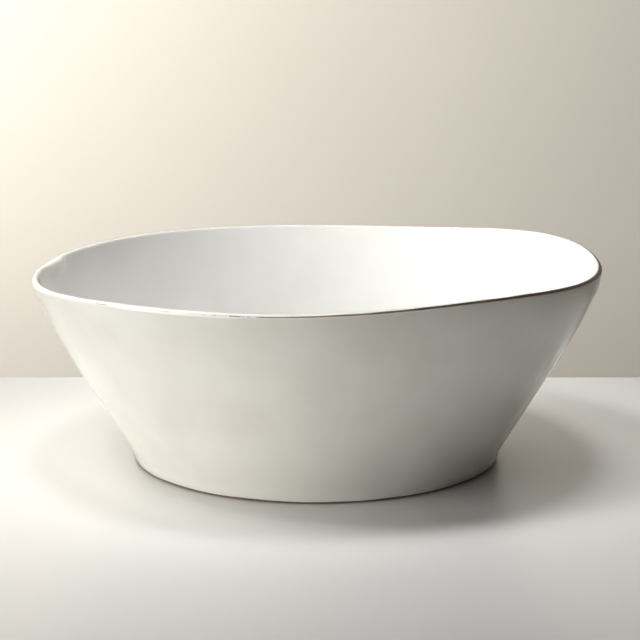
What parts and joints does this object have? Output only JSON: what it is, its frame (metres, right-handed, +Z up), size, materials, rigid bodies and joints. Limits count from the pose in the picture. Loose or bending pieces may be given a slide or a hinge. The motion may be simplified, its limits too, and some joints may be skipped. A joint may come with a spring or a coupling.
{
  "type": "serving bowl",
  "caption": "Large round ceramic serving bowl with a flared wall, a wavy hand-formed lip with a thin brown edge, white glaze and a bare clay foot.",
  "frame": {"origin": "on the table, at the centre of the bowl's outline seen from above, which is the foot ring's centre", "axes": "+Z up, out of the bowl's mouth; +X towards the right of the bowl as it is shown, where the lip is high; -Y towards the viewer"},
  "size_m": [0.3102, 0.3102, 0.1132],
  "materials": {
    "bare_clay": "matte",
    "white_glaze": "gloss",
    "brown_edge": "satin"
  },
  "bodies": {
    "root": {"foot_ring": "bare_clay", "clay_body": "bare_clay", "underside_glaze": "white_glaze", "outside_glaze": "white_glaze", "inside_glaze": "white_glaze", "rim_edging": "brown_edge"}
  },
  "joints": []
}
